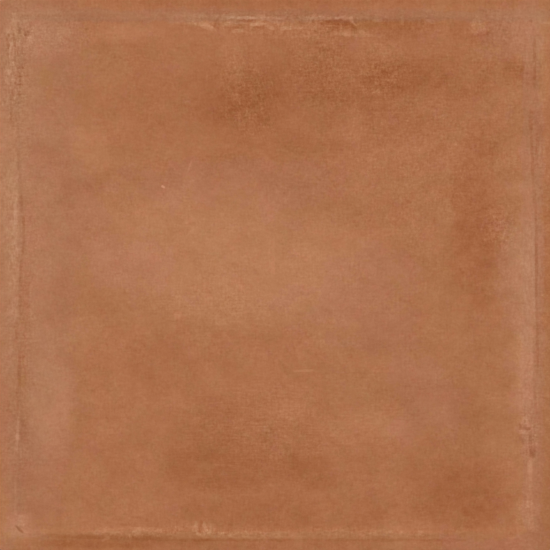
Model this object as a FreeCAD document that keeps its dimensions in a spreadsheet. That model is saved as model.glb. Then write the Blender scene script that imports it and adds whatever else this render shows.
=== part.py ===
# Terracotta floor tile, 300 x 300 x 12 mm, pressed and fired as one piece of clay.
#
# The tile lies face up on a level floor.  The origin is the middle of its underside,
# on the bedding plane; X and Y run along its sides and +Z points out of the face.
# All lengths are in millimetres.
#
# From the face down:
# - a flat walking face inside a pillowed shoulder that runs round all four sides and
#   falls away to the arris in a shallow curve
# - a rounded arris, then a plain upright joint face on each side
# - a narrow bevel round the foot, where the punch leaves the side wall short
# - a keyed underside: a flat rim round a square field of shallow drafted cells, with
#   the ribs between the cells standing on the bedding plane
import FreeCAD, Part
import math
import os

import Sketcher

Vector = FreeCAD.Vector

# name, value, what it sizes
DRIVING_SIZES = [
    ("side_length", 300.0, "length of each side of the tile"),
    ("thickness", 12.0, "bedding plane to walking face"),
    ("corner_radius", 1.2, "rounding of the four upright corners"),
    ("shoulder_width", 10.0, "width of the pillowed band, measured in from the side"),
    ("shoulder_drop", 0.5, "how far the shoulder has fallen where it meets the side"),
    ("face_corner_radius", 4.0, "rounding of the flat face's corners, inside the shoulder"),
    ("arris_radius", 0.7, "rounding between the shoulder and the joint face"),
    ("foot_bevel_width", 0.8, "how far the foot is set in from the joint face"),
    ("foot_bevel_height", 2.0, "height of the bevel round the foot"),
    ("rim_width", 14.0, "joint face to the first key cell, across the plain rim"),
    ("rib_width", 5.0, "width of the crest of a rib between two cells"),
    ("cells_per_side", 7, "number of key cells along each side"),
    ("cell_depth", 1.5, "depth of a key cell above the bedding plane"),
    ("cell_corner_radius", 4.0, "rounding of a cell's corners, at its mouth"),
    ("cell_draft_deg", 35.0, "slope of a cell's walls away from upright"),
]

# name, formula, what it sizes
WORKED_OUT_SIZES = [
    ("arris_level", "=thickness - shoulder_drop", "bedding plane to the foot of the shoulder"),
    ("middle_level", "=thickness - shoulder_drop / 4",
     "level halfway across the shoulder, on a curve that leaves the face level"),
    ("middle_side", "=side_length - shoulder_width", "width of the tile halfway across"),
    ("middle_corner_radius", "=(corner_radius + face_corner_radius) / 2",
     "corner rounding halfway across the shoulder"),
    ("face_side", "=side_length - 2 * shoulder_width", "width of the flat face"),
    ("cell_pitch", "=(side_length - 2 * rim_width + rib_width) / cells_per_side",
     "centre to centre of neighbouring cells"),
    ("cell_side", "=cell_pitch - rib_width", "width of a cell at its mouth"),
    ("outermost_cell", "=side_length / 2 - rim_width - cell_side / 2",
     "tile centre to the centre of the outermost row of cells"),
    ("field_extent", "=2 * outermost_cell", "first row of cells to the last, centre to centre"),
]

TOUCH = 1e-3

doc = FreeCAD.newDocument("terracotta_floor_tile")


def make_sheet():
    """Fills the spreadsheet that drives the tile, one row for each size."""
    sheet = doc.addObject("Spreadsheet::Sheet", "Sizes")
    rows = [(name, str(value), note) for name, value, note in DRIVING_SIZES]
    rows += WORKED_OUT_SIZES
    for row, (name, content, note) in enumerate(rows, start=1):
        sheet.set("A%d" % row, name)
        sheet.set("B%d" % row, content)
        sheet.set("C%d" % row, note)
        sheet.setAlias("B%d" % row, name)
    doc.recompute()
    return sheet


sizes = make_sheet()
tile = doc.addObject("PartDesign::Body", "Tile")
tile.Label = "terracotta_tile"


def origin_feature(role):
    """One of the tile's own origin planes or axes."""
    return next(f for f in tile.Origin.OriginFeatures if f.Role == role)


def level_sketch(name, level=None):
    """An empty sketch on the bedding plane, or at a level named in the spreadsheet."""
    sketch = tile.newObject("Sketcher::SketchObject", name)
    sketch.AttachmentSupport = (origin_feature("XY_Plane"), [""])
    sketch.MapMode = "FlatFace"
    if level:
        sketch.setExpression("AttachmentOffset.Base.z", "Sizes." + level)
    return sketch


def bind(sketch, name, constraint, formula):
    """Adds a dimension to a sketch and ties it to the spreadsheet."""
    sketch.renameConstraint(sketch.addConstraint(constraint), name)
    sketch.setExpression("Constraints." + name, formula)


def draw_rounded_square(sketch, side, radius, offset=None):
    """Draws a square with rounded corners, sized by the cells named side and radius.

    It is centred on the tile, or on the point that lies -offset along both X and Y.
    The sides are drawn anticlockwise from the lower one, each with the arc after it."""
    half = getattr(sizes, side) / 2
    rounding = getattr(sizes, radius)
    away = getattr(sizes, offset) if offset else 0.0
    centre = Vector(-away, -away, 0)
    lines = []
    arcs = []
    for quarter in range(4):
        turn = FreeCAD.Rotation(Vector(0, 0, 1), 90 * quarter)
        start = centre + turn.multVec(Vector(rounding - half, -half, 0))
        end = centre + turn.multVec(Vector(half - rounding, -half, 0))
        pivot = centre + turn.multVec(Vector(half - rounding, rounding - half, 0))
        lines.append(sketch.addGeometry(Part.LineSegment(start, end)))
        corner = Part.Circle(pivot, Vector(0, 0, 1), rounding)
        to = quarter * math.pi / 2
        arcs.append(sketch.addGeometry(Part.ArcOfCircle(corner, to - math.pi / 2, to)))
    for line, arc, next_line in zip(lines, arcs, lines[1:] + lines[:1]):
        sketch.addConstraint(Sketcher.Constraint("Tangent", line, 2, arc, 1))
        sketch.addConstraint(Sketcher.Constraint("Tangent", arc, 2, next_line, 1))
    for arc in arcs[1:]:
        sketch.addConstraint(Sketcher.Constraint("Equal", arcs[0], arc))
    sketch.addConstraint(Sketcher.Constraint("Equal", lines[0], lines[1]))
    sketch.addConstraint(Sketcher.Constraint("Horizontal", lines[0]))
    bind(sketch, "rounding", Sketcher.Constraint("Radius", arcs[0], rounding), "Sizes." + radius)
    bind(sketch, "straight",
         Sketcher.Constraint("DistanceX", lines[0], 1, lines[0], 2, 2 * (half - rounding)),
         "Sizes.%s - 2 * Sizes.%s" % (side, radius))
    if offset:
        middle = sketch.addGeometry(Part.Point(centre), True)
        sketch.addConstraint(Sketcher.Constraint("Symmetric", lines[0], 1, lines[2], 1, middle, 1))
        bind(sketch, "across", Sketcher.Constraint("DistanceX", middle, 1, -1, 1, away),
             "Sizes." + offset)
        bind(sketch, "along", Sketcher.Constraint("DistanceY", middle, 1, -1, 1, away),
             "Sizes." + offset)
    else:
        sketch.addConstraint(Sketcher.Constraint("Symmetric", lines[0], 1, lines[2], 1, -1, 1))


def press_blank():
    """The square slab of clay, up to the level where the shoulder starts."""
    outline = level_sketch("BlankOutline")
    draw_rounded_square(outline, "side_length", "corner_radius")
    blank = tile.newObject("PartDesign::Pad", "Blank")
    blank.Profile = outline
    blank.setExpression("Length", "Sizes.arris_level")
    doc.recompute()
    return blank


def pillow_face():
    """The pillowed top of the tile, lofted from the arris over the shoulder to the face."""
    sections = []
    for name, level, side, radius in (
            ("ShoulderFoot", "arris_level", "side_length", "corner_radius"),
            ("ShoulderMiddle", "middle_level", "middle_side", "middle_corner_radius"),
            ("FaceOutline", "thickness", "face_side", "face_corner_radius")):
        section = level_sketch(name, level)
        draw_rounded_square(section, side, radius)
        sections.append(section)
    doc.recompute()
    pillow = tile.newObject("PartDesign::AdditiveLoft", "PillowedFace")
    pillow.Profile = sections[0]
    pillow.Sections = sections[1:]
    doc.recompute()
    return pillow


def edges_at(feature, level):
    """Names of a feature's edges that lie in the plane at this level."""
    return ["Edge%d" % number for number, edge in enumerate(feature.Shape.Edges, start=1)
            if max(abs(edge.BoundBox.ZMin - level), abs(edge.BoundBox.ZMax - level)) < TOUCH]


def soften_arris(base):
    """Rounds the edge where the shoulder meets the joint faces, corners included."""
    arris = tile.newObject("PartDesign::Fillet", "Arris")
    arris.Base = (base, edges_at(base, sizes.arris_level))
    arris.setExpression("Radius", "Sizes.arris_radius")
    doc.recompute()
    return arris


def bevel_foot(base):
    """Sets the foot in from the joint faces with a tall, narrow bevel."""
    foot = tile.newObject("PartDesign::Chamfer", "Foot")
    foot.Base = (base, edges_at(base, 0.0))
    foot.ChamferType = "Two distances"
    foot.setExpression("Size", "Sizes.foot_bevel_height")
    foot.setExpression("Size2", "Sizes.foot_bevel_width")
    doc.recompute()
    return foot


def press_key_cell():
    """One drafted cell, in a corner of the field on the underside."""
    mouth = level_sketch("CellMouth")
    draw_rounded_square(mouth, "cell_side", "cell_corner_radius", "outermost_cell")
    cell = tile.newObject("PartDesign::Pocket", "KeyCell")
    cell.Profile = mouth
    cell.Reversed = True
    cell.setExpression("Length", "Sizes.cell_depth")
    cell.setExpression("TaperAngle", "-Sizes.cell_draft_deg")
    doc.recompute()
    return cell


def repeat_cell(cell):
    """Repeats the cell along X and Y until the field inside the rim is full."""
    cells = tile.newObject("PartDesign::LinearPattern", "KeyCells")
    cells.Originals = [cell]
    cells.Direction = (origin_feature("X_Axis"), [""])
    cells.Direction2 = (origin_feature("Y_Axis"), [""])
    for extent, count in (("Length", "Occurrences"), ("Length2", "Occurrences2")):
        cells.setExpression(extent, "Sizes.field_extent")
        cells.setExpression(count, "Sizes.cells_per_side")
    tile.Tip = cells
    doc.recompute()
    return cells


def check_step(feature, before):
    """Stops the build where a step failed, left an unsound shape or changed nothing."""
    shape = feature.Shape
    if shape.isNull() or not shape.isValid() or len(shape.Solids) != 1:
        raise RuntimeError(feature.Name + " has no sound solid")
    if before and abs(shape.Volume - before.Shape.Volume) < TOUCH:
        raise RuntimeError(feature.Name + " changes nothing")


blank = press_blank()
pillow = pillow_face()
arris = soften_arris(pillow)
foot = bevel_foot(arris)
cell = press_key_cell()
cells = repeat_cell(cell)

for feature in doc.Objects:
    if {"Invalid", "Error"} & set(feature.State):
        raise RuntimeError(feature.Name + " could not be worked out")
steps = [blank, pillow, arris, foot, cell, cells]
for feature, before in zip(steps, [None] + steps[:-1]):
    check_step(feature, before)
os.makedirs("parts", exist_ok=True)
tile.Shape.exportStep("parts/%s.step" % tile.Label)
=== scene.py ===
"""Dresses a terracotta floor tile: fired clay with a worn, pillowed face and a keyed back."""
import math

import bpy
from bpy.props import FloatProperty, FloatVectorProperty, IntProperty, PointerProperty
from mathutils import Euler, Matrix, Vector, noise


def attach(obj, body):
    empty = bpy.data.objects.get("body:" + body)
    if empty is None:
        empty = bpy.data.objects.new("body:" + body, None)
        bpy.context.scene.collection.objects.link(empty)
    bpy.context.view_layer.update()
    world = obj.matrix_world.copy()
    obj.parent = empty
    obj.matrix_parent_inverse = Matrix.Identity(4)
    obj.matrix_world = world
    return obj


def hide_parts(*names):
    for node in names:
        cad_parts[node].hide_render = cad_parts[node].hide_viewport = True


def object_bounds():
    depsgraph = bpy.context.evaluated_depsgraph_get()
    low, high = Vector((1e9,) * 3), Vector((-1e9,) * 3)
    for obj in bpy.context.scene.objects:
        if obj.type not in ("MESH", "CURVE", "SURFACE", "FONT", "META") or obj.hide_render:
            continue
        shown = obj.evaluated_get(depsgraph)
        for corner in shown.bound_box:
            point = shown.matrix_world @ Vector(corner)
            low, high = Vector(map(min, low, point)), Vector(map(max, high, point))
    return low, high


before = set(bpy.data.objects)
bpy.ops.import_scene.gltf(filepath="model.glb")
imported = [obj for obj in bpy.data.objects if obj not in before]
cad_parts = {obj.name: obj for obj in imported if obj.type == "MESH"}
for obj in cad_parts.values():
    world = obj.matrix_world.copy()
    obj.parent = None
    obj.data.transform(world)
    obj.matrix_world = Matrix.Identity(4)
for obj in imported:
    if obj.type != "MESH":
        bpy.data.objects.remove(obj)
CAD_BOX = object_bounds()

bl_info = {
    "name": "Terracotta floor tile",
    "version": (1, 0, 0),
    "blender": (4, 5, 0),
    "location": "3D View > Sidebar > Tile",
    "description": "Makes a worn terracotta floor tile and the studio that it lies in",
    "category": "Object",
}

MM = 0.001
SIDE = (CAD_BOX[1].x - CAD_BOX[0].x) / MM
THICKNESS = (CAD_BOX[1].z - CAD_BOX[0].z) / MM


def length(name, default, description):
    """A size in millimetres for a property group."""
    return FloatProperty(name=name, default=default, min=0.0, description=description + ", in mm")


class TileShape(bpy.types.PropertyGroup):
    """Sizes of the tile, in millimetres; the side and thickness come from the frame."""

    side: length("Side", SIDE, "Length of each side")
    thickness: length("Thickness", THICKNESS, "Bedding plane to walking face")
    corner_radius: length("Corner radius", 1.2, "Rounding of the upright corners")
    shoulder_width: length("Shoulder width", 10.0, "Width of the pillowed band")
    shoulder_drop: length("Shoulder drop", 0.5, "Fall of the shoulder at the side")
    face_corner: length("Face corner", 4.0, "Corner rounding of the face inside the shoulder")
    arris_radius: length("Arris radius", 0.7, "Rounding between shoulder and side")
    dish: length("Dish", 0.2, "How far the face lies below the ridge round it")
    dish_width: length("Dish width", 3.0, "Width of the step from ridge to face")
    ridge_height: length("Ridge height", 0.07, "Height of the rubbed ridge on the shoulder")
    foot_width: length("Foot bevel width", 0.8, "Inset of the foot")
    foot_height: length("Foot bevel height", 2.0, "Height of the bevel round the foot")
    rim: length("Rim", 14.0, "Side of the tile to the first key cell")
    rib: length("Rib", 5.0, "Width of a rib's crest on the underside")
    cells: IntProperty(name="Cells", default=7, min=1, description="Key cells along each side")
    cell_depth: length("Cell depth", 1.5, "Depth of a key cell")
    cell_corner: length("Cell corner", 4.0, "Corner rounding of a cell at its mouth")
    cell_slope: length("Cell slope", 1.05, "Width of a cell's sloping wall")


class TileFinish(bpy.types.PropertyGroup):
    """Colours of the clay."""

    clay: FloatVectorProperty(
        name="Clay", subtype="COLOR_GAMMA", size=3, min=0, max=1, default=(0.6765, 0.4425, 0.3055),
        description="Mean colour of the walking face")
    raw_clay: FloatVectorProperty(
        name="Raw clay", subtype="COLOR_GAMMA", size=3, min=0, max=1, default=(0.70, 0.47, 0.345),
        description="Colour of the sides and the back, which nobody walks on")
    grain: FloatProperty(name="Grain", default=1.0, min=0, description="Strength of the fine grain")


class TileStage(bpy.types.PropertyGroup):
    """The plain studio."""

    floor: FloatVectorProperty(
        name="Floor", subtype="COLOR", size=3, min=0, max=1, default=(0.80, 0.79, 0.77),
        description="Colour of the floor")
    sky: FloatProperty(name="Sky", default=0.54, min=0, description="Strength of the even light")
    key: FloatProperty(name="Key", default=1.88, min=0, description="Strength of the key light")
    key_height: FloatProperty(
        name="Key height", default=math.radians(45), subtype="ANGLE",
        description="How high the key light stands")
    key_turn: FloatProperty(
        name="Key turn", default=math.radians(125), subtype="ANGLE",
        description="Where the key light stands, turned from the tile's right side")
    key_spread: FloatProperty(
        name="Key spread", default=math.radians(18), subtype="ANGLE",
        description="How wide the key light looks from the tile")


# Shape. Everything here is in millimetres, until the mesh is written in metres.


def ease(value, low, high):
    """0 below low, 1 above high and a smooth rise between them."""
    t = min(max((value - low) / (high - low), 0.0), 1.0)
    return t * t * (3 - 2 * t)


def on_rounded_square(x, y, half, radius):
    """Moves a point of the plain square of that half width onto one with rounded corners."""
    u = min(abs(x), abs(y))
    if radius <= 0 or u <= half - radius:
        return x, y
    angle = math.pi / 4 * (u - (half - radius)) / radius
    along = half - radius + radius * math.sin(angle)
    out = half - radius + radius * math.cos(angle)
    if abs(x) >= abs(y):
        return math.copysign(out, x), math.copysign(along, y)
    return math.copysign(along, x), math.copysign(out, y)


def graded(half, fine_width, fine_step, step):
    """Places of grid lines from -half to half, closer together near both ends."""
    fine = max(1, round(fine_width / fine_step))
    inner = half - fine_width
    middle = max(2, round(2 * inner / step))
    low = [-half + fine_width * i / fine for i in range(fine)]
    mid = [-inner + 2 * inner * i / middle for i in range(middle + 1)]
    return low + mid + [-v for v in reversed(low)]


# How far the rubbed ridge spreads to each side of its crest, in mm
RIDGE_SPREAD = 1.3


def face_level(shape, inset, along):
    """Height of the ideal walking face at a distance in from the side."""
    long_wave, short_wave = 0.6 * math.sin(along / 17.0), 0.35 * math.sin(along / 6.1 + 2)
    fall = shape.shoulder_drop * (1 - min(inset / shape.shoulder_width, 1.0)) ** 2
    crest = shape.shoulder_width + long_wave + short_wave
    dish = shape.dish * ease(inset, crest, crest + shape.dish_width)
    ridge = shape.ridge_height * math.exp(-((inset - crest) / RIDGE_SPREAD) ** 2)
    return shape.thickness - shape.ridge_height - fall - dish + ridge


class Skin:
    """Points, faces, map places and finish numbers of the tile as they are made."""

    def __init__(self):
        self.points = []
        self.faces = []
        self.places = []
        self.finishes = []

    def point(self, x, y, z):
        self.points.append((x, y, z))
        return len(self.points) - 1

    def face(self, corners, places, finish):
        self.faces.append(corners)
        self.places += places
        self.finishes.append(finish)


FACE, SIDES, BACK = range(3)

# Corners of the map that each stretch of the skin takes, as left, bottom, width and height
FACE_MAP = (0.002, 0.300, 0.696, 0.696)
BACK_MAP = (0.702, 0.702, 0.296, 0.296)
STRIP_MAP = (0.004, 0.004, 0.960, 0.062)
STRIP_STEP = 0.070


def grid(skin, lines, point_at, area, finish, flip=False):
    """A square sheet of faces over the lines; returns the numbers of its points."""
    numbers = [[skin.point(*point_at(x, y)) for x in lines] for y in lines]
    low, span = lines[0], lines[-1] - lines[0]

    def place(i, j):
        return (area[0] + area[2] * (lines[i] - low) / span,
                area[1] + area[3] * (lines[j] - low) / span)

    for j in range(len(lines) - 1):
        for i in range(len(lines) - 1):
            corners = [(i, j), (i + 1, j), (i + 1, j + 1), (i, j + 1)]
            if flip:
                corners.reverse()
            skin.face([numbers[b][a] for a, b in corners], [place(a, b) for a, b in corners], finish)
    return numbers


def border(numbers):
    """A grid's outermost points, anticlockwise seen from above, starting at the lower left."""
    last = len(numbers) - 1
    low = [numbers[0][i] for i in range(last)]
    right = [numbers[j][last] for j in range(last)]
    top = [numbers[last][last - i] for i in range(last)]
    left = [numbers[last - j][0] for j in range(last)]
    return low + right + top + left


def square_walk(lines, half, radius):
    """Places round a rounded square, in step with the border of a grid over the lines."""
    shares = [line / lines[-1] for line in lines]
    walk = []
    for quarter in range(4):
        turn = quarter * math.pi / 2
        for share in shares[:-1]:
            x, y = on_rounded_square(share * half, -half, half, radius)
            walk.append((x * math.cos(turn) - y * math.sin(turn), x * math.sin(turn) + y * math.cos(turn)))
    return walk


def press_face(skin, shape):
    """The walking face, out to the arris."""
    half = shape.side / 2
    reach = half - shape.arris_radius
    fine_band, fine_step, step = 14.0, 0.55, 1.5
    lines = graded(reach, fine_band, fine_step, step)

    def point_at(x, y):
        ring = max(abs(x), abs(y))
        inset = half - ring
        radius = shape.corner_radius + (shape.face_corner - shape.corner_radius) * min(
            inset / shape.shoulder_width, 1.0)
        radius *= 1 - ease(inset, shape.shoulder_width, 2.5 * shape.shoulder_width)
        level = face_level(shape, inset, y if abs(x) > abs(y) else x)
        return *on_rounded_square(x, y, ring, radius), level

    return lines, border(grid(skin, lines, point_at, FACE_MAP, FACE))


def press_sides(skin, shape, lines, top):
    """The arris, the upright sides and the foot bevel, as rings below the face."""
    half = shape.side / 2
    arris_level = face_level(shape, shape.arris_radius, 0)
    centre = arris_level - shape.arris_radius
    rings = []
    turns = 6
    for k in range(1, turns + 1):
        angle = math.pi / 2 * (1 - k / turns)
        rings.append((half - shape.arris_radius * (1 - math.cos(angle)),
                      centre + shape.arris_radius * math.sin(angle), FACE if k < turns else SIDES))
    drops = 10
    for k in range(1, drops + 1):
        rings.append((half, centre + (shape.foot_height - centre) * k / drops, SIDES))
    bevels = 3
    for k in range(1, bevels + 1):
        rings.append((half - shape.foot_width * k / bevels,
                      shape.foot_height * (1 - k / bevels), SIDES))
    count = len(top)
    per_side = count // 4
    shares = [(line - lines[0]) / (lines[-1] - lines[0]) for line in lines]
    above, high = top, 1.0
    deep = shape.thickness + shape.arris_radius
    run = 0.0
    last = (half - shape.arris_radius, arris_level)
    for width, level, finish in rings:
        radius = shape.corner_radius - (half - width)
        ring = [skin.point(x, y, level) for x, y in square_walk(lines, width, radius)]
        run += math.dist(last, (width, level))
        last = (width, level)
        low = max(0.0, 1 - run / deep)
        for i in range(count):
            j = (i + 1) % count
            quarter, step = divmod(i, per_side)
            left = STRIP_MAP[0] + STRIP_MAP[2] * shares[step]
            right = STRIP_MAP[0] + STRIP_MAP[2] * shares[step + 1]
            base = STRIP_MAP[1] + STRIP_STEP * quarter
            a, b = base + STRIP_MAP[3] * low, base + STRIP_MAP[3] * high
            skin.face([ring[i], ring[j], above[j], above[i]],
                      [(left, a), (right, a), (right, b), (left, b)], finish)
        above, high = ring, low
    return above


def press_back(skin, shape, foot):
    """The keyed underside: ribs and drafted cells inside a plain rim."""
    half = shape.side / 2
    pitch = (shape.side - 2 * shape.rim + shape.rib) / shape.cells
    mouth = (pitch - shape.rib) / 2
    floor = mouth - shape.cell_slope
    field = pitch * shape.cells / 2
    margin, lip = 3.0, 0.35
    edge = half - shape.foot_width - margin
    within = [0.0, floor * 0.4, floor * 0.75, floor - lip, floor, (floor + mouth) / 2, mouth,
              mouth + lip]
    cell = [-v for v in reversed(within[1:])] + within
    places = [-field + pitch * (k + 0.5) + v for k in range(shape.cells) for v in [-pitch / 2] + cell]
    rim_steps = 3
    outer = [field + (edge - field) * k / rim_steps for k in range(1, rim_steps + 1)]
    places = [-v for v in reversed(outer)] + places + [field] + outer

    def point_at(x, y):
        if max(abs(x), abs(y)) > field:
            return x, y, 0.0
        column = min(int((x + field) / pitch), shape.cells - 1)
        row = min(int((y + field) / pitch), shape.cells - 1)
        middle_x, middle_y = (-field + pitch * (k + 0.5) for k in (column, row))
        a, b = x - middle_x, y - middle_y
        ring = max(abs(a), abs(b))
        if ring <= floor:
            radius = (shape.cell_corner - shape.cell_slope) * ring / floor
        elif ring <= mouth:
            radius = shape.cell_corner - (mouth - ring)
        else:
            radius = shape.cell_corner * (pitch / 2 - ring) / (pitch / 2 - mouth)
        a, b = on_rounded_square(a, b, ring, radius)
        depth = shape.cell_depth * min(max((mouth - ring) / shape.cell_slope, 0.0), 1.0)
        return middle_x + a, middle_y + b, depth

    inner = border(grid(skin, places, point_at, BACK_MAP, BACK, flip=True))
    stitch(skin, foot, inner)


def stitch(skin, outer, inner):
    """A strip of triangles between two rings on the underside that start at the same corner."""
    low, span = BACK_MAP[0], BACK_MAP[2]
    reach = max(abs(skin.points[n][0]) for n in outer)

    def place(number):
        x, y, _ = skin.points[number]
        return low + span * (x + reach) / (2 * reach), BACK_MAP[1] + BACK_MAP[3] * (y + reach) / (2 * reach)

    def turn(number):
        x, y, _ = skin.points[number]
        return (math.atan2(y, x) + 3 * math.pi / 4 + 1e-6) % (2 * math.pi)

    i = j = 0
    while i < len(outer) or j < len(inner):
        a, b = outer[i % len(outer)], inner[j % len(inner)]
        next_a, next_b = outer[(i + 1) % len(outer)], inner[(j + 1) % len(inner)]
        turn_a = turn(next_a) if i + 1 < len(outer) else 2 * math.pi
        turn_b = turn(next_b) if j + 1 < len(inner) else 2 * math.pi
        if j >= len(inner) or (i < len(outer) and turn_a <= turn_b):
            corners, i = [a, b, next_a], i + 1
        else:
            corners, j = [a, b, next_b], j + 1
        skin.face(corners, [place(n) for n in corners], BACK)


# Dents and chips: x, y, radius and depth in mm, on the face or along the arris
DENTS = [
    (-138.5, 132, 2.2, 0.16), (-135, 131, 1.8, 0.18), (-140, 118, 1.6, 0.12), (-139, 103, 2.0, 0.14),
    (-141, 90, 1.8, 0.16), (-143, 78, 2.4, 0.12), (-138, 60, 1.6, 0.08), (-141, -8, 1.6, 0.12),
    (-140, -82, 2.0, 0.14), (-138.5, -138, 2.0, 0.22), (137, -84, 2.6, 0.25), (139, -92, 2.2, 0.2),
    (136, -98, 1.8, 0.16), (41, 135, 2.0, 0.2), (33, 134, 1.6, 0.12), (-8, 138, 1.8, 0.1),
    (4, 137, 1.6, 0.12), (-42, -140, 2.0, 0.14), (-103, -139, 1.5, 0.1), (139, 84, 1.6, 0.14),
    (-60.5, 48, 1.2, 0.1),
    (-150, 96, 2.6, 0.35), (-150, -61, 1.9, 0.3), (-150, -118, 1.5, 0.25), (150, 120, 2.2, 0.3),
    (150, 12, 1.6, 0.25), (150, -71, 2.4, 0.4), (-92, 150, 1.8, 0.3), (21, 150, 2.2, 0.3),
    (101, 150, 1.5, 0.25), (-31, -150, 2.0, 0.35), (64, -150, 1.6, 0.25), (118, -150, 2.4, 0.3),
    (150, -149, 2.6, 0.4), (-149, 150, 2.4, 0.35),
]


# Unevenness of fired clay: the size of its features and its depth, in mm
SWELL = (38.0, 0.05)
RIPPLE = (7.0, 0.03)
GRIT = (1.7, 0.035)

# Dents only touch points higher up than this, in mm
LOWEST_DENT = 5


def wear_depth(x, y, z, upward):
    """How far fired clay stands back from its ideal skin at a point."""
    place = Vector((x, y, z))
    swell = 0.5 + 0.5 * noise.noise(place / SWELL[0])
    ripple = 0.5 + 0.5 * noise.noise(place / RIPPLE[0] + Vector((5, 9, 2)))
    grit = 0.5 + 0.5 * noise.noise(place / GRIT[0] + Vector((1, 7, 4)))
    depth = (SWELL[1] * swell if upward else 0.0) + RIPPLE[1] * ripple + GRIT[1] * grit
    if z <= LOWEST_DENT:
        return depth
    for dent_x, dent_y, radius, deep in DENTS:
        gap = math.dist((x, y), (dent_x, dent_y)) / radius
        if gap < 1:
            depth += deep * (1 - gap * gap) ** 2
    return depth


def press_tile(shape):
    """The whole tile as one closed mesh object."""
    skin = Skin()
    lines, top = press_face(skin, shape)
    foot = press_sides(skin, shape, lines, top)
    press_back(skin, shape, foot)
    mesh = bpy.data.meshes.new("terracotta_tile_skin")
    mesh.from_pydata(skin.points, [], skin.faces)
    mesh.update()
    normals = [Vector(v.normal) for v in mesh.vertices]
    for vertex, normal in zip(mesh.vertices, normals):
        depth = wear_depth(*vertex.co, normal.z > 0.3)
        vertex.co = (vertex.co - normal * depth) * MM
    layer = mesh.uv_layers.new(name="OFBake")
    layer.data.foreach_set("uv", [value for place in skin.places for value in place])
    mesh.polygons.foreach_set("material_index", skin.finishes)
    mesh.polygons.foreach_set("use_smooth", [True] * len(mesh.polygons))
    mesh.validate()
    mesh.update()
    tile = bpy.data.objects.new("fired_tile", mesh)
    bpy.context.collection.objects.link(tile)
    return tile


# Shader sums


class Wire:
    """One output of a material's node, which can be used in sums like a number."""

    def __init__(self, sheet, socket, vector=False):
        self.sheet = sheet
        self.socket = socket
        self.vector = vector

    def _sum(self, operation, other):
        """This and a number, a vector or another wire; a number goes with each part of a vector."""
        pair = (self, other)
        if any(isinstance(v, (tuple, Wire)) and getattr(v, "vector", True) for v in pair):
            inputs = {k: v if isinstance(v, (tuple, Wire)) else (v,) * 3 for k, v in enumerate(pair)}
            return self.sheet.node("VectorMath", {"operation": operation}, inputs, vector=True)
        return self.sheet.node("Math", {"operation": operation}, {0: self, 1: other})

    def __add__(self, other):
        return self._sum("ADD", other)

    def __sub__(self, other):
        return self._sum("SUBTRACT", other)

    def __mul__(self, other):
        return self._sum("MULTIPLY", other)

    def parts(self):
        """The three values of a vector."""
        split = self.sheet.node("SeparateXYZ", {}, {0: self})
        return [Wire(self.sheet, socket) for socket in split.socket.node.outputs]

    def scaled(self, factor, extra):
        """This times factor, plus extra."""
        kind = "VectorMath" if self.vector else "Math"
        return self.sheet.node(kind, {"operation": "MULTIPLY_ADD"}, {0: self, 1: factor, 2: extra},
                               vector=self.vector)

    def dot(self, other):
        """The dot product of two vectors."""
        return self.sheet.node("VectorMath", {"operation": "DOT_PRODUCT"}, {0: self, 1: other},
                               output="Value")

    def ease(self, low, high, start=0.0, end=1.0):
        """A smooth change from start, where this is at low, to end, where it is at high."""
        return self.sheet.node(
            "MapRange", {"interpolation_type": "SMOOTHSTEP"},
            {"Value": self, "From Min": low, "From Max": high, "To Min": start, "To Max": end})

    def fade(self, core):
        """For each part of a vector, a smooth change from 1, where it is at core, to 0, where it is 1."""
        return self.sheet.node(
            "MapRange", {"data_type": "FLOAT_VECTOR", "interpolation_type": "SMOOTHSTEP"},
            {6: self, 7: (1.0, 1.0, 1.0), 8: (core, core, core)}, output="Vector", vector=True)


class Sheet:
    """A material and the one way to add a node to it."""

    def __init__(self, name):
        self.material = bpy.data.materials.new(name)
        self.material.use_nodes = True
        self.tree = self.material.node_tree
        self.tree.nodes.clear()

    def node(self, kind, settings=None, inputs=None, output=0, vector=False):
        """Adds a node, sets it up, fills its sockets and returns one of its outputs."""
        made = self.tree.nodes.new("ShaderNode" + kind)
        for name, value in (settings or {}).items():
            setattr(made, name, value)
        for name, value in (inputs or {}).items():
            if isinstance(value, Wire):
                self.tree.links.new(value.socket, made.inputs[name])
            else:
                made.inputs[name].default_value = value
        return Wire(self, made.outputs[output], vector) if made.outputs else None

    def vector(self, x=0.0, y=0.0, z=0.0):
        """A vector made of three values."""
        return self.node("CombineXYZ", {}, {"X": x, "Y": y, "Z": z}, vector=True)

    def noise(self, place, size, detail=2.0, rough=0.5, flat=True):
        """Three independent noises about zero, with features of that size in mm."""
        made = self.node(
            "TexNoise", {"noise_dimensions": "2D" if flat else "3D"},
            {"Vector": place, "Scale": 1 / size, "Detail": detail, "Roughness": rough},
            output="Color", vector=True)
        return made - 0.5

    def finish(self, colour, roughness, normal):
        """Ends the sheet in a matt clay surface."""
        surface = self.node(
            "BsdfPrincipled", {},
            {"Base Color": colour, "Roughness": roughness, "Normal": normal, "IOR": 1.45,
             "Specular IOR Level": 0.2})
        self.node("OutputMaterial", {}, {"Surface": surface})
        return self.material


# Colours are worked out on a scale of 255 as lightness, redness and blueness, which say how far red
# and blue stand from the lightness.
RED_STEP = 1.402
BLUE_STEP = 1.772
SHARES = (0.299, 0.587, 0.114)
FULL = 255
GAMMA = 2.2


def tone_of(colour):
    """Lightness, redness and blueness of a colour."""
    red, green, blue = (FULL * v for v in colour)
    lightness = SHARES[0] * red + SHARES[1] * green + SHARES[2] * blue
    return lightness, (red - lightness) / RED_STEP, (blue - lightness) / BLUE_STEP


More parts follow.
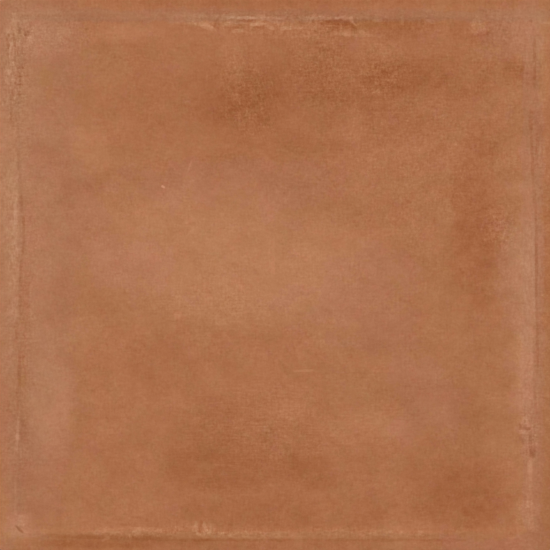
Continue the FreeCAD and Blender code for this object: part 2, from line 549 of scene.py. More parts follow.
def colour_of(lightness, redness, blueness):
    """The colour wire of a lightness, a redness and a blueness wire."""
    green = redness.scaled(-RED_STEP * SHARES[0] / SHARES[1], lightness)
    green = blueness.scaled(-BLUE_STEP * SHARES[2] / SHARES[1], green)
    mixed = lightness.sheet.vector(redness.scaled(RED_STEP, lightness), green,
                                   blueness.scaled(BLUE_STEP, lightness))
    return lightness.sheet.node("Gamma", {}, {"Color": mixed * (1 / FULL), "Gamma": GAMMA}, vector=True)


def lay_patches(place, patches, core=None):
    """The sum of some patches, each of which adds its change in its middle and eases off to its edge.

    A patch without a core is a soft oval. One with a core has full corners, and a higher core makes
    its edge steeper. The patches go three at a time, one in each part of a vector.
    """
    x, y, _ = place.parts()
    x, y = place.sheet.vector(x, x, x), place.sheet.vector(y, y, y)
    patches = sorted(patches, key=lambda patch: patch[4] == 0)
    total = 0.0
    for first in range(0, len(patches), 3):
        trio = patches[first:first + 3]
        trio = trio + [(0, 0, 1, 1, 0, 0)] * (3 - len(trio))
        rows = []
        for at_x, at_y, half_wide, half_high, tilt, change in trio:
            turn = math.radians(tilt)
            right, up = math.cos(turn), math.sin(turn)
            rows.append((right / half_wide, up / half_wide, -(at_x * right + at_y * up) / half_wide,
                         up / -half_high, right / half_high, (at_x * up - at_y * right) / half_high, change))
        x_by_x, x_by_y, x_start, y_by_x, y_by_y, y_start, change = zip(*rows)
        own_x, own_y = x.scaled(x_by_x, x_start), y.scaled(y_by_y, y_start)
        if any(x_by_y):
            own_x, own_y = y.scaled(x_by_y, own_x), x.scaled(y_by_x, own_y)
        if core is not None:
            own_x, own_y = own_x * own_x, own_y * own_y
        reach = own_x.scaled(own_x, own_y * own_y)
        total = reach.fade(core or 0.0).dot(change) + total
    return total


# Steps of lightness, out of 255, in which the clouds, films and bands are drawn
FAINT = 2
SOFT = 4
CLEAR = 7
STRONG = 10
HARD = 13

# Steps in which the fields of hue are drawn
HINT = 0.5
TINT = 0.9
DEEP = 1.8

# Steps in which the grain gets coarser
ROUGHER = 0.5
COARSE = 1.0

# Each row of the lists below is a patch: x, y, half width and half height in mm, tilt in degrees, and
# its change, which is one of lightness where the list names no other.

# Soft clouds of the firing. The dark rows on the foot and right margins are partly painted shade, where the
# shoulder falls away from the key light.
CLOUDS = [
    (-35, 12, 95, 45, -5, STRONG),  # pale middle
    (35, 0, 45, 35, 0, SOFT),  # its right end
    (-15, -20, 50, 15, 0, SOFT),  # its foot
    (32, -27, 16, 20, 0, SOFT),  # its right foot
    (-102, 70, 18, 20, 0, CLEAR),  # pale left field
    (-105, -32, 30, 14, 0, SOFT),  # pale, left of the middle
    (-122, -70, 15, 40, 0, STRONG),  # pale lower left
    (-138, 35, 27, 120, 0, CLEAR),  # left margin
    (-130, 132, 30, 20, 0, CLEAR),  # corner, upper left
    (-138, -136, 12, 11, 0, STRONG),  # corner, lower left
    (137, -20, 12, 120, 0, CLEAR),  # right margin
    (138, 130, 15, 22, 0, CLEAR),  # corner, upper right
    (-82, 130, 28, 7, 0, CLEAR),  # pale streak under the top line
    (-23, 119, 11, 14, 10, CLEAR),  # pale patch under the top line
    (50, 122, 16, 7, 0, SOFT),  # rubbed patch, upper right
    (40, 81, 15, 10, 0, CLEAR),  # pale spot, upper right of the middle
    (52, -82, 26, 11, 0, CLEAR),  # low streak
    (8, -73, 16, 8, 0, SOFT),  # left of it
    (35, -126, 22, 5, 0, SOFT),  # streak at the foot
    (25, 100, 108, 38, 0, -CLEAR),  # upper field
    (-68, 95, 50, 32, 0, -FAINT),  # upper field, left
    (-10, -102, 95, 34, 0, -SOFT),  # lower field
    (93, -110, 34, 28, 0, -CLEAR),  # lower right
    (106, -72, 13, 33, 0, -SOFT),  # above it
    (-60, -48, 25, 17, 0, -SOFT),  # left of the middle, below
    (-35, -80, 24, 24, 0, -SOFT),  # below it
    (-128, 62, 9, 20, 0, -SOFT),  # dull strip inside the left band
    (70, 131, 22, 5, 0, -CLEAR),  # red streak under the top line
    (-10, 144, 80, 4, 0, -SOFT),  # strip along the top
    (5, 150, 145, 4, 0, -SOFT),  # top margin
    (149, -122, 5, 36, 0, -SOFT),  # right margin, foot: partly painted shade
    (-88, -145, 50, 5, 0, -CLEAR),  # foot margin, left: partly painted shade
]

# Smoked patches, speckled
SMOKED = [
    (-18, 90, 32, 20, 10, -CLEAR),  # upper middle
    (12, 105, 32, 18, 0, -SOFT),  # right of it
    (70, 107, 34, 13, 0, -CLEAR),  # upper right
    (105, 110, 25, 17, 0, -SOFT),  # towards the right corner
    (0, 68, 50, 12, 0, -SOFT),  # under the upper middle
    (108, 20, 17, 50, 0, -STRONG),  # right column
    (114, 70, 15, 18, 0, -CLEAR),  # its head
    (112, -22, 12, 25, 0, -SOFT),  # its foot
    (-30, -105, 38, 16, 0, -CLEAR),  # lower middle
    (16, -107, 24, 12, 0, -CLEAR),  # right of it
    (8, -129, 90, 12, 0, -CLEAR),  # foot of the field
    (106, -123, 34, 22, 0, -CLEAR),  # lower right
    (112, -132, 17, 8, 0, -SOFT),  # its foot
    (108, 132, 14, 10, 0, -CLEAR),  # by the corner patch
    (127, 110, 7, 9, 0, -CLEAR),  # spot below it
    (-40, -145, 9, 4, 0, -CLEAR),  # spot on the foot margin
]

# Films of pale dust with torn edges
FILMS = [
    (131, 0, 12, 30, 0, SOFT),  # right, beside the column
    (135, -52, 5, 26, 0, SOFT),  # right, below it
    (137, -131, 7, 11, 0, CLEAR),  # corner, lower right
    (-40, 138, 8, 4, -20, CLEAR),  # wedge on the top line
    (110, 135, 5, 5, 20, STRONG),  # patch on the top line
    (-126, 127, 15, 9, 0, SOFT),  # corner, upper left
    (-39, -138, 8, 4, 0, SOFT),  # knock on the foot line
    (-138, -133, 4, 3, 0, CLEAR),  # corner, lower left
]

# Bands rubbed along the shoulder at the left and right, speckled along their length. They are partly painted
# light and shade: the cream bands on the left shoulder and on the inner flank of the right ridge face the
# key light, and the brown edge and margin at the right face away from it.
UPRIGHT = [
    (-143, 117, 5, 28, 0, STRONG),  # left: cream band, head, partly painted light
    (-143, 28, 5, 42, 0, STRONG),  # left: cream band, middle, partly painted light
    (-149, 85, 2, 60, 0, SOFT),  # left: margin, partly painted light
    (-142, -18, 3, 7, 0, CLEAR),  # left: crumbs by the brown line
    (-136, -82, 3, 13, 0, -CLEAR),  # left: red-brown patch
    (-141, -122, 1, 20, 0, SOFT),  # left: cream hairline, foot
    (136, -12, 4, 68, 0, SOFT),  # right: cream band, partly painted light
    (138, -118, 2, 21, 0, CLEAR),  # right: cream line, foot
    (146, 111, 2, 5, 0, CLEAR),  # right: cream specks, head
    (145, 65, 3, 8, 0, CLEAR),  # right: cream specks
    (148, 20, 3, 40, 0, -SOFT),  # right: brown edge, partly painted shade
    (146, -100, 4, 43, 0, -FAINT),  # right: brown margin, partly painted shade
]

# The same at the top and foot. The bright lines at the foot are partly painted light on the lit flank of the
# ridge, and the brown and tan margins below them are partly painted shade on the shoulder that falls away
# from the key light.
LEVEL = [
    (5, 150, 155, 5, 0, -CLEAR),  # top: margin
    (-12, 139, 26, 3, 0, CLEAR),  # top: crumbs
    (-77, -139, 20, 2, 0, CLEAR),  # foot: bright line, left, partly painted light
    (-20, -141, 45, 2, 0, CLEAR),  # foot: bright line, partly painted light
    (48, -140, 26, 2, 0, CLEAR),  # foot: bright line, right, partly painted light
    (-89, -145, 48, 4, 0, -CLEAR),  # foot: brown margin, partly painted shade
    (2, -147, 60, 3, 0, -CLEAR),  # foot: tan margin, partly painted shade
]

# Hairlines and strokes where the shoulder meets the face. The dark hairlines and brown lines are partly
# painted shade on the flank of the ridge turned away from the key light, and the cream edges and the bright
# hairline are partly painted light on the flank turned towards it.
STROKES = [
    (141, 116, 1, 17, 0, -STRONG),  # right: hairline, head
    (139, 84, 1.5, 7, 0, -HARD),  # right: knot
    (139.5, 70, 1, 9, 3, -STRONG),  # right: fork
    (142.5, 70, 1, 9, -4, -CLEAR),  # right: other fork
    (140, 59, 1, 7, 0, -STRONG),  # right: where they meet
    (141, 42, 1, 16, 4, -CLEAR),  # right: hairline
    (142, 8, 1, 28, 0, -HARD),  # right: hairline, middle
    (142.5, -35, 1, 22, 1, -STRONG),  # right: hairline, below the middle
    (141.5, -69, 1, 10, 4, -CLEAR),  # right: hairline, foot
    (140.5, 5, 1, 36, 1, CLEAR),  # right: cream edge beside it
    (139.5, -42, 1, 16, 0, CLEAR),  # right: cream edge, below
    (147, 112, 5, 34, 0, SOFT),  # right: clean margin, head
    (134.5, 112, 1.5, 8, -7, -CLEAR),  # right: grey stroke
    (-143, 91, 1, 11, -4, -STRONG),  # left: shadow of the band
    (-140, 112, 2, 13, 0, -CLEAR),  # left: dashes beside the band
    (-139, 58, 1, 11, 2, -SOFT),  # left: shadow, lower
    (-137.5, 38, 1, 13, 6, -STRONG),  # left: brown line, head
    (-136.5, 24, 1, 9, 0, -STRONG),  # left: brown line
    (-137.5, 7, 1, 13, -5, -CLEAR),  # left: brown line, middle
    (-138.5, -13, 1, 14, 0, -CLEAR),  # left: brown line, lower
    (-140.5, -33, 1, 9, -3, -CLEAR),  # left: brown line, next
    (-139, -51, 1, 12, 0, -STRONG),  # left: brown line, foot
    (-140, -66, 1, 8, 0, -CLEAR),  # left: brown line, end
    (-140, -87, 1, 11, -3, STRONG),  # left: bright hairline
    (-135.5, -16, 3, 19, 0, -CLEAR),  # left: brown band
    (-137, -50, 2, 19, 0, -SOFT),  # left: brown band, lower
    (-141, 30, 1, 16, 0, CLEAR),  # left: cream edge
    (-108, 141, 36, 1, 0, -SOFT),  # top: grey hairline, left
    (-107, -142, 24, 1.5, -1, -STRONG),  # foot: hairline, left
    (-74, -143, 18, 1.5, -2, -STRONG),  # foot: hairline, next
    (-20, -144, 42, 1, 0, -HARD),  # foot: hairline, middle
    (48, -144, 38, 1, 0, -STRONG),  # foot: hairline, right
    (91, -144, 16, 1, 0, -CLEAR),  # foot: hairline, end
]

# Crumbs and short curled strokes, with painted shadows under some crumbs
CRUMBS = [
    (-36.5, 134.6, 5.5, 1.5, -20, 10),  # top: edge of the wedge
    (-48, 136.8, 7, 1.1, -3, 5),  # top: edge of the wedge, left
    (-31.4, 136.5, 1.6, 4, 0, -7),  # top: end of the wedge
    (-19, 139.8, 9, 0.9, 0, 16),  # top: bright line
    (-16, 138.2, 6, 0.8, 0, -13),  # top: its shadow
    (-25, 141.2, 5, 1, 4, 8),  # top: crumb above it
    (-25.5, 136.6, 3.4, 1.1, 10, 11),  # top: crumb
    (-20, 134.8, 4, 1.1, 0, -9),  # top: brown between the crumbs
    (-19.6, 133, 4.4, 1, 10, 12),  # top: crumb
    (-10, 136.2, 5, 1.1, 0, 16),  # top: crumb
    (-9, 134.2, 4, 0.8, 0, -9),  # top: painted shadow under it
    (-3.2, 134.9, 3.4, 1, -25, 14),  # top: crumb
    (5.9, 134.1, 4, 1.1, 5, 17),  # top: crumb
    (-5, 139.4, 2.6, 1, 0, 9),  # top: crumb by the ring
    (16, 134.4, 8, 0.8, 0, 8),  # top: line right of the crumbs
    (14.5, 129.8, 9, 0.8, 2, 8),  # top: lower line
    (20.5, 139.6, 7.5, 0.9, 0, 13),  # top: bright line, right
    (36, 140.1, 4.5, 0.9, 0, 11),  # top: bright line, end
    (33, 137.2, 10, 1.8, 0, -9),  # top: brown band, head
    (58, 136, 36, 3.4, 0, -8),  # top: brown band
    (45, 130.3, 16, 1, -2, 9),  # top: pale line under the knock
    (55.5, 138.3, 3.4, 1, 0, 10),  # top: crumb on the brown band
    (69.2, 137.8, 0.9, 2.6, 10, 9),  # top: upright crumb
    (84.5, 138, 2.8, 1, -15, 10),  # top: last crumb
    (107, 132.4, 4.5, 0.8, -40, 6),  # top: arc of the grey patch
    (113.5, 130.8, 5, 0.8, 15, -6),  # top: its lower edge
    (147.5, 137.2, 2.6, 0.9, 0, 8),  # top: dash in the corner
    (-95.6, -139.4, 4.5, 1, 8, 9),  # foot: crumb, left
    (-92, -143.4, 3, 0.9, 30, 9),  # foot: crumb below it
    (-70, -138.6, 10, 1.8, 0, 6),  # foot: pale patch
    (-42.5, -137, 0.9, 4, 8, 12),  # foot: curl
    (-40.2, -136.4, 0.8, 4, -6, -10),  # foot: curl
    (-38, -137, 0.9, 3.4, 12, 13),  # foot: curl
    (-35, -138, 0.9, 3, -8, 9),  # foot: curl
    (79, -139.6, 1.4, 1.4, 0, 9),  # foot: crumb, right
    (-141.8, 127, 0.9, 3, 10, -11),  # left: crackle
    (-143.6, 124, 0.8, 3, -10, 9),  # left: crackle
    (-145.3, 126, 0.9, 3.4, 15, -11),  # left: crackle
    (-143.3, 130.5, 2.4, 0.8, 10, -9),  # left: crackle
    (-140.6, 121.5, 0.8, 2.6, 15, -9),  # left: crackle
    (-138.5, 113, 2.6, 0.7, 0, -10),  # left: dash
    (-139.4, 108, 2.6, 0.7, 5, -10),  # left: dash
    (-139, 103.5, 2.8, 0.8, -5, -10),  # left: dash
    (-139.8, 98, 2.4, 0.8, 0, -9),  # left: dash
]

# Where the clay fired greyer or browner: changes of the field of blueness
BLUE = [
    (-145, 0, 43, 200, 0, DEEP),  # left field
    (-140, 122, 48, 40, 0, TINT),  # left field, upper
    (-143, -112, 26, 40, 0, TINT),  # left field, foot
    (-103, 33, 14, 30, 0, TINT),  # left field, inner side
    (140, 0, 7, 190, 0, DEEP),  # right: dusty shoulder
    (133, 5, 18, 32, 0, TINT),  # right: bulge of the shoulder
    (132, -50, 10, 60, 0, HINT),  # right: inner side, lower
    (129, 133, 22, 20, 0, TINT),  # corner, upper right
    (120, -148, 40, 8, 0, TINT),  # corner, lower right
    (0, 141, 190, 4, 0, DEEP),  # top: dusty shoulder
    (-20, 50, 75, 16, 0, TINT),  # band over the middle
    (5, 34, 14, 12, 0, HINT),  # its hanging end
    (-80, 5, 28, 20, -10, TINT),  # left lobe
    (52, -12, 33, 35, 0, TINT),  # mauve lobe
    (18, -16, 32, 14, 0, HINT),  # its tail
    (83, -70, 26, 28, 0, TINT),  # lower lobe
    (68, -40, 26, 14, -40, HINT),  # bridge between the lobes
    (-150, -10, 3, 150, 0, -TINT),  # left: outer edge
    (-148, -118, 5, 34, 0, -DEEP),  # left: outer edge, foot
    (-137, -40, 4, 55, 0, -TINT),  # left: brown line
    (-128, 103, 14, 13, 0, -DEEP),  # ochre fleck, upper left
    (-126, -126, 20, 26, 0, -TINT),  # left field, corner at the foot
    (-110, -148, 45, 6, 0, -TINT),  # foot: outer edge, left
    (148, 10, 4, 45, 0, -TINT),  # right: outer edge, middle
    (145, 122, 5, 34, 0, -TINT),  # right: outer edge, head
    (62, 136, 34, 3, 0, -TINT),  # top: clean brown band
]

# Where it fired redder or paler: changes of the field of redness
RED = [
    (10, 113, 142, 66, 0, TINT),  # upper field
    (110, 20, 16, 57, 0, TINT),  # right column
    (78, 46, 56, 42, 0, HINT),  # right field
    (-30, -117, 128, 60, 0, TINT),  # lower field
    (103, -127, 46, 33, 0, TINT),  # lower field, right
    (-70, -50, 42, 27, 0, TINT),  # left of the middle, below
    (-5, -52, 38, 28, 0, TINT),  # right of it
    (67, 130, 21, 6, 0, TINT),  # red streak under the top line
    (148, 60, 4, 100, 0, TINT),  # right: outer edge
    (-148, -98, 5, 62, 0, TINT),  # left: outer edge, foot
    (-138, -40, 4, 60, 0, TINT),  # left: brown line
    (-110, -148, 45, 6, 0, TINT),  # foot: outer edge, left
    (-142, 0, 45, 200, 0, -TINT),  # left field
    (-129, -72, 11, 36, 0, -TINT),  # left field, low
    (-142, 10, 8, 190, 0, -TINT),  # left: dusty shoulder
    (-138, 127, 40, 43, 0, -HINT),  # corner, upper left
    (-95, 114, 16, 12, 0, -TINT),  # dull fleck beside it
    (140, 0, 7, 190, 0, -TINT),  # right: dusty shoulder
    (133, 5, 18, 33, 0, -HINT),  # right: bulge of the shoulder
    (128, 134, 24, 18, 0, -HINT),  # corner, upper right
    (0, 141, 190, 4, 0, -DEEP),  # top: dusty shoulder
    (-38, 138, 13, 5, 0, -TINT),  # top: wedge
    (-20, -142, 185, 3, 0, -TINT),  # foot: dusty shoulder
]

# Small marks: knocks, pits and scratches. The dark pits and nicks, and the dark insides of the ring and the
# curl, are painted shade in hollows.
MARKS = [
    (-60.8, 48, 1.3, 0.8, -30, 30),  # chip that shows pale clay
    (-46.4, 59, 0.7, 4.5, -18, 9),  # curved scratch
    (-45.5, 51, 1.8, 0.6, 20, 7),  # its foot
    (15.8, -52, 6.5, 0.8, 2, 12),  # pale dash
    (-53, -22, 2.2, 2.2, 0, 8),  # pale spot
    (-139, -138, 3.4, 0.8, -42, -18),  # nick
    (-138, -139.4, 2.6, 0.7, -35, -11),  # nick beside it
    (-135, 131.4, 2.0, 2.0, 0, -16),  # pit
    (-138.6, 133, 1.1, 2.6, 0, -15),  # upright pit
    (-139.6, -88.3, 2, 1.5, 0, 10),  # bright spot on the left hairline
    (41.4, 138.6, 1.3, 2.2, 10, 19),  # bright curl of the knock on the top line
    (43.2, 136.6, 2.2, 0.7, -45, 15),  # its tail
    (42.4, 135.3, 1.6, 1.2, -30, -15),  # its pit
    (43.6, 132.6, 1.1, 2.0, 0, -11),  # pit below it
    (38.8, 131.0, 2.6, 1.6, 0, 9),  # pale smudge left of it
    (47.5, 131.6, 3.0, 1.2, -25, 9),  # pale smudge right of it
    (2.9, 137.5, 2.8, 2.6, 0, 8),  # pale ring on the top line
    (2.9, 137.9, 1.5, 1.4, 0, -12),  # inside of the ring
    (-102.5, 133.6, 1.6, 1.0, 20, -12),  # pit under the top line
    (139, 138, 1.2, 1.0, 0, -12),  # pit at the upper right
    (135.6, -79, 2.4, 2.6, 0, 11),  # pale curl of the knock at the right
    (135.8, -79.6, 1.0, 1.0, 0, -11),  # inside of the curl
    (135.8, -83.2, 3.6, 0.9, -10, -13),  # arc under it
    (134.4, -85.0, 2.0, 1.3, 0, 11),  # pale clay in the arc
    (138.8, -91, 1.0, 8.5, 2, -12),  # upright pit
    (140, -96.6, 2.1, 3.2, 0, -11),  # dark foot of the pit
    (138.5, -104.5, 1.6, 4.6, 0, 12),  # pale foot of the knock
    (133.6, -89, 3.4, 3.0, 0, -5),  # brown beside the pit
]

# Where the grain is rougher, and by how much
ROUGH = [
    (24, 115, 24, 30, 0, COARSE),  # upper middle
    (-15, 98, 18, 32, 12, COARSE),  # left of it
    (60, 112, 20, 18, 0, COARSE),  # upper right
    (80, 70, 80, 70, 0, ROUGHER),  # upper right field
    (126, 125, 26, 30, 0, ROUGHER),  # corner, upper right
    (121, 26, 12, 16, 0, COARSE),  # beside the right column
    (144, 0, 9, 160, 0, ROUGHER),  # right margin
    (137, -89, 8, 20, 0, COARSE),  # knock at the right
    (-138, 0, 12, 150, 0, ROUGHER),  # left shoulder
    (-141, 117, 11, 45, 0, COARSE),  # left shoulder, head
    (-118, 130, 30, 15, 0, ROUGHER),  # corner, upper left
    (0, 137, 60, 9, 0, COARSE),  # crumbs on the top line
    (60, 137, 50, 9, 0, ROUGHER),  # right of them
    (-57, -140, 60, 4, 0, COARSE),  # foot line, left
    (30, -140, 110, 4, 0, ROUGHER),  # foot line
    (-5, -83, 45, 28, 0, ROUGHER),  # lower middle
    (-33, -14, 24, 14, 0, ROUGHER),  # middle
]

# Where the surface broke up into pale veins
VEINED = [
    (46, 104, 32, 24, 0, 8),  # upper middle, right
    (-15, 98, 26, 30, 12, 5),  # upper middle
    (80, 62, 42, 50, 0, 3.5),  # upper right field
    (125, 40, 14, 62, 0, 4.5),  # beside the right column
    (-20, -22, 36, 18, 0, 4.5),  # middle, low
    (-132, 116, 17, 28, 0, 5),  # upper left corner
    (15, -90, 62, 22, 0, 3.5),  # lower middle
]

# Where a brush left scratches sideways
BRUSHED = [
    (-22, -85, 50, 45, 0, 8),  # lower middle
    (40, -80, 60, 40, 0, 5),  # right of it
    (-35, -20, 50, 25, 0, 6),  # middle, low
    (60, 110, 60, 40, 0, 4),  # upper right
]

# Where it is combed steeply down
COMBED = [
    (-14, 98, 26, 34, 0, 10),  # upper middle
    (40, 112, 34, 24, 0, 6),  # right of it
]


def clay_place(sheet):
    """The place on the tile, in millimetres from the middle of its underside."""
    spot = sheet.node("TexCoord", {}, {}, output="Object", vector=True)
    return spot * (1 / MM)


def clay_bump(sheet, relief):
    """The bend of the surface under a relief in millimetres."""
    return sheet.node("Bump", {}, {"Height": relief * MM, "Distance": 1.0, "Strength": 1.0},
                      vector=True)


def stepped_field(field, low, middle, high, edges):
    """Three steps of hue over a field, joined by short eased edges at its lower, middle and upper level."""
    lower, centre, upper = edges
    value = field.ease(centre[0], centre[1], *middle)
    value = value + field.ease(upper[0], upper[1], 0.0, high)
    return value + field.ease(lower[0], lower[1], 0.0, low)


def fired_hues(hem, stain, clay_red, clay_blue):
    """Redness and blueness, which change in steps from one field of the fired clay to the next."""
    torn = -0.5
    red_field = lay_patches(hem, RED, torn) + stain[0].scaled(3.7, 1.1)
    redness = stepped_field(red_field, -1.5, (clay_red - 2.1, clay_red - 0.1), 2.0,
                            ((-0.2, -0.5), (0.4, 0.6), (1.4, 1.6)))
    blue_field = lay_patches(hem, BLUE, torn) + stain[1].scaled(2.8, 0.1)
    blueness = stepped_field(blue_field, -1.2, (clay_blue - 1.1, clay_blue + 1.5), 1.0,
                             ((-0.3, -0.5), (0.4, 0.6), (1.4, 1.6)))
    return redness, blueness


def woven_grain(sheet, place, drift, ragged, stain):
    """The fine grain and the noises that it is made of: a weave, specks, veins and scratches."""
    long_way, fine_size, scratch_size = 0.35, 1.35, 1.0
    rough = lay_patches(drift, ROUGH)
    mottle, patchy, _ = sheet.noise((place + ragged * 3.0) * (0.8, 1.1, 1.0), 16, 5, 0.85).parts()
    patchy = patchy.ease(-0.15, 0.15, 0.5, 1.2)
    across = sheet.noise(place * (1.0, long_way, 1.0), fine_size, 1, 0.5).parts()[0]
    along = sheet.noise(place * (long_way, 1.0, 1.0), fine_size, 1, 0.5).parts()[0]
    speck, fleck, _ = sheet.noise(place, 1.25, 2, 0.6).parts()
    brushed = sheet.noise(place * (0.08, 1.0, 1.0), scratch_size, 2, 0.6).parts()[0]
    steep = sheet.vector(place.dot((0.94, 0.34, 0)), place.dot((-0.03, 0.09, 0)))
    combed = sheet.noise(steep, 1.1, 2, 0.6).parts()[0]
    grain = speck.scaled(15.0, along.scaled(11.0, across * 10.0))
    grain = grain * rough.scaled(1.0, patchy) + fleck.ease(0.1, 0.22) * rough.scaled(8.0, 3.0)
    veins = (stain[2] * stain[2]).ease(0.0016, 0.0, -0.25, 0.75)
    grain = grain + lay_patches(drift, VEINED) * veins
    grain = grain + lay_patches(drift, BRUSHED) * brushed.ease(0.0, 0.2, -0.15, 0.5)
    grain = grain + lay_patches(drift, COMBED) * combed.ease(-0.05, 0.2, -0.2, 0.45)
    return grain, mottle, across, along, speck, fleck


def worn_face(finish):
    """The walking face: firing clouds, dusty films, rubbed lines and a woven grain, with painted light and
    shade along the ridge and shoulder and in the pits.
    """
    sheet = Sheet("worn terracotta face")
    place = clay_place(sheet)
    broad = sheet.noise(place, 42, 3, 0.55)
    ragged = sheet.noise(place, 9, 4, 0.6)
    fine = sheet.noise(place, 2.6, 2, 0.5)
    stain = sheet.noise(place, 14, 4, 0.8).parts()
    worn = sheet.noise(place, 5.5, 4, 0.7).parts()
    drift = place + broad * 10.0 + ragged * 7.0
    hem = place + ragged * 6.0 + fine * 1.5
    track = place + broad * 1.5 + ragged * 1.3 + fine * 0.8
    clay, clay_red, clay_blue = tone_of(finish.clay)
    redness, blueness = fired_hues(hem, stain, clay_red, clay_blue)
    grain, mottle, across, along, speck, fleck = woven_grain(sheet, place, drift, ragged, stain)
    grain = grain * finish.grain

    line_core = -0.28
    smoked = lay_patches(drift, SMOKED) * worn[1].ease(0.14, -0.14, 0.65, 1.3)
    upright = lay_patches(track, UPRIGHT, line_core) * across.ease(-0.15, 0.1, 0.4, 1.15)
    level = lay_patches(track, LEVEL, line_core) * along.ease(-0.12, 0.1, 0.55, 1.35)
    films = lay_patches(hem, FILMS, 0.12) * fleck.ease(-0.02, 0.1, 0.7, 1.5)
    # The rubbed bands carry painted light and shade of the shoulder and ridge as well as wear.
    rubbed_and_painted_light = (films + upright + level) * worn[0].ease(-0.16, 0.14, 0.3, 1.2)
    # The strokes are partly painted light and shade of the ridge, and the crumbs carry painted shadows under
    # them.
    strokes_and_ridge_shading = lay_patches(place + ragged * 1.1 + fine * 0.6, STROKES, line_core)
    crumbs_and_painted_shadows = lay_patches(place + fine * 1.7 + ragged * 0.8, CRUMBS, 0.1)
    lines = (strokes_and_ridge_shading + crumbs_and_painted_shadows) * worn[2].ease(-0.2, 0.1, 0.55, 1.15)
    # The marks hold painted shade in the pits and nicks.
    lightness = lay_patches(drift, CLOUDS) + lay_patches(place + fine * 0.8, MARKS, -0.15)
    lightness = lightness + smoked + lines + rubbed_and_painted_light + mottle.scaled(27.0, clay) + grain
    redness = redness - smoked * 0.06 - lines * 0.11 - rubbed_and_painted_light * 0.07 - grain * 0.04
    blueness = blueness + smoked * 0.04 + lines * 0.05
    roughness = worn[2].scaled(0.25, 0.86)
    bump = clay_bump(sheet, speck * 0.05 + worn[1] * 0.05)
    return sheet.finish(colour_of(lightness, redness, blueness), roughness, bump)


def raw_side(finish):
    """The sides: raw clay, dragged by the mould and dusty, with painted shade towards the foot."""
    sheet = Sheet("raw terracotta side")
    place = clay_place(sheet)
    clay, clay_red, clay_blue = tone_of(finish.raw_clay)
    mottle = sheet.noise(place, 22, 5, 0.7, flat=False).parts()
    drag = sheet.noise(place * (0.12, 0.12, 2.2), 1.1, 3, 0.6, flat=False).parts()[0]
    speck = sheet.noise(place, 0.9, 3, 0.7, flat=False).parts()[0]
    level = place.parts()[2]
    # The last term is painted shade: the side gets darker towards its foot, by the floor.
    lightness = mottle[0].scaled(34.0, clay) + drag * 16.0 + speck * 26.0 + level.ease(1.0, 3.0, -7.0, 0.0)
    bump = clay_bump(sheet, drag * 0.10 + speck * 0.10)
    colour = colour_of(lightness, mottle[1].scaled(12.0, clay_red), mottle[2].scaled(12.0, clay_blue))
    return sheet.finish(colour, speck * 0.2 + 0.92, bump)


def raw_back(finish):
    """The underside: raw clay with patches of dust, and key cells painted darker than the ribs as shade in
    their hollows.
    """
    sheet = Sheet("raw terracotta back")
    place = clay_place(sheet)
    clay, clay_red, clay_blue = tone_of(finish.raw_clay)
    mottle = sheet.noise(place, 30, 5, 0.65).parts()
    speck = sheet.noise(place, 1.1, 3, 0.7).parts()[0]
    dust = sheet.noise(place, 12, 4, 0.7).parts()[0].ease(-0.1, 0.2)
    # Painted shade: the key cells get darker the deeper they are sunk.
    painted_cell_shade = place.parts()[2].ease(0.2, 1.3)
    lightness = mottle[0].scaled(40.0, clay) + speck * 28.0 + painted_cell_shade * -8.0 + dust * 7.0
    bump = clay_bump(sheet, speck * 0.12)
    redness = mottle[1].scaled(12.0, clay_red) - dust * 3.0
    blueness = mottle[2].scaled(12.0, clay_blue) + dust * 2.0
    return sheet.finish(colour_of(lightness, redness, blueness), speck * 0.2 + 0.93, bump)


# Operators


class TILE_OT_press(bpy.types.Operator):
    """Press the tile as one closed piece of clay"""

    bl_idname = "tile.press"
    bl_label = "Press the tile"

    def execute(self, context):
        tile = press_tile(context.scene.tile_shape)
        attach(tile, "root")
        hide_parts("terracotta_tile")
        return {"FINISHED"}


class TILE_OT_fire(bpy.types.Operator):
    """Give the pressed tile its fired and worn finishes"""

    bl_idname = "tile.fire"
    bl_label = "Fire the tile"

    def execute(self, context):
        tile = bpy.data.objects["fired_tile"]
        finish = context.scene.tile_finish
        for made in (worn_face(finish), raw_side(finish), raw_back(finish)):
            tile.data.materials.append(made)
        return {"FINISHED"}


class TILE_OT_stage(bpy.types.Operator):
    """Lay out the floor, the light and the camera"""

    bl_idname = "tile.stage"
    bl_label = "Set the stage"

    def execute(self, context):
        stage = context.scene.tile_stage
        lay_floor(stage)
        light_stage(context.scene, stage)
        place_camera(context.scene)
        return {"FINISHED"}


def lay_floor(stage):
    """A plain pale floor under the tile."""
    reach = 8.0
    mesh = bpy.data.meshes.new("studio_floor")
    mesh.from_pydata([(-reach, -reach, 0), (reach, -reach, 0), (reach, reach, 0), (-reach, reach, 0)],
                     [], [(0, 1, 2, 3)])
    floor = bpy.data.objects.new("studio_floor", mesh)
    bpy.context.collection.objects.link(floor)
    sheet = Sheet("pale floor")
    surface = sheet.node("BsdfDiffuse", {}, {"Color": (*stage.floor, 1)})
    sheet.node("OutputMaterial", {}, {"Surface": surface})
    mesh.materials.append(sheet.material)


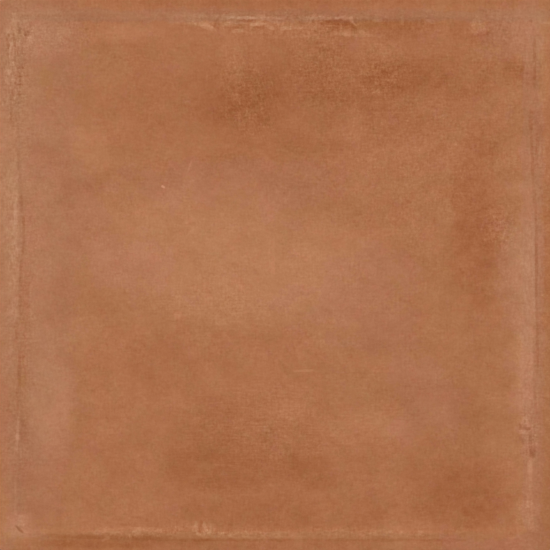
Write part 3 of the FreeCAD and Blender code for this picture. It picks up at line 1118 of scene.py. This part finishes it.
def light_stage(scene, stage):
    """An even sky and one broad key light from the upper left."""
    world = bpy.data.worlds.new("studio")
    world.use_nodes = True
    world.node_tree.nodes["Background"].inputs["Color"].default_value = (1, 1, 1, 1)
    world.node_tree.nodes["Background"].inputs["Strength"].default_value = stage.sky
    scene.world = world
    lamp = bpy.data.lights.new("key light", "SUN")
    lamp.energy = stage.key
    lamp.angle = stage.key_spread
    key = bpy.data.objects.new("key_light", lamp)
    key.rotation_euler = Euler((math.pi / 2 - stage.key_height, 0, stage.key_turn - math.pi / 2 + math.pi))
    bpy.context.collection.objects.link(key)


def place_camera(scene):
    """Looks straight down on the face, which fills the picture."""
    trim = 0.6
    view_side = (SIDE - 2 * trim) * MM
    distance = 3.0
    data = bpy.data.cameras.new("camera")
    data.sensor_width = 36.0
    data.lens = data.sensor_width * distance / view_side
    camera = bpy.data.objects.new("camera", data)
    camera.location = (0, 0, CAD_BOX[1].z + distance)
    bpy.context.collection.objects.link(camera)
    scene.camera = camera


class TILE_PT_sidebar(bpy.types.Panel):
    """The tile's sizes, colours and steps"""

    bl_label = "Terracotta tile"
    bl_idname = "TILE_PT_sidebar"
    bl_space_type = "VIEW_3D"
    bl_region_type = "UI"
    bl_category = "Tile"

    def draw(self, context):
        for group in (context.scene.tile_shape, context.scene.tile_finish, context.scene.tile_stage):
            box = self.layout.box()
            for name in group.bl_rna.properties.keys():
                if name not in ("rna_type", "name"):
                    box.prop(group, name)
        for operator in OPERATORS:
            self.layout.operator(operator.bl_idname)


GROUPS = {"tile_shape": TileShape, "tile_finish": TileFinish, "tile_stage": TileStage}
OPERATORS = (TILE_OT_press, TILE_OT_fire, TILE_OT_stage)
CLASSES = (*GROUPS.values(), *OPERATORS, TILE_PT_sidebar)


def register():
    for cls in CLASSES:
        bpy.utils.register_class(cls)
    for name, group in GROUPS.items():
        setattr(bpy.types.Scene, name, PointerProperty(type=group))


def unregister():
    for name in GROUPS:
        delattr(bpy.types.Scene, name)
    for cls in reversed(CLASSES):
        bpy.utils.unregister_class(cls)


def main():
    """Makes everything."""
    register()
    scene = bpy.context.scene
    scene.view_settings.view_transform = "Standard"
    bpy.ops.tile.press()
    bpy.ops.tile.fire()
    bpy.ops.tile.stage()
    bpy.context.view_layer.update()


if __name__ == "__main__":
    main()
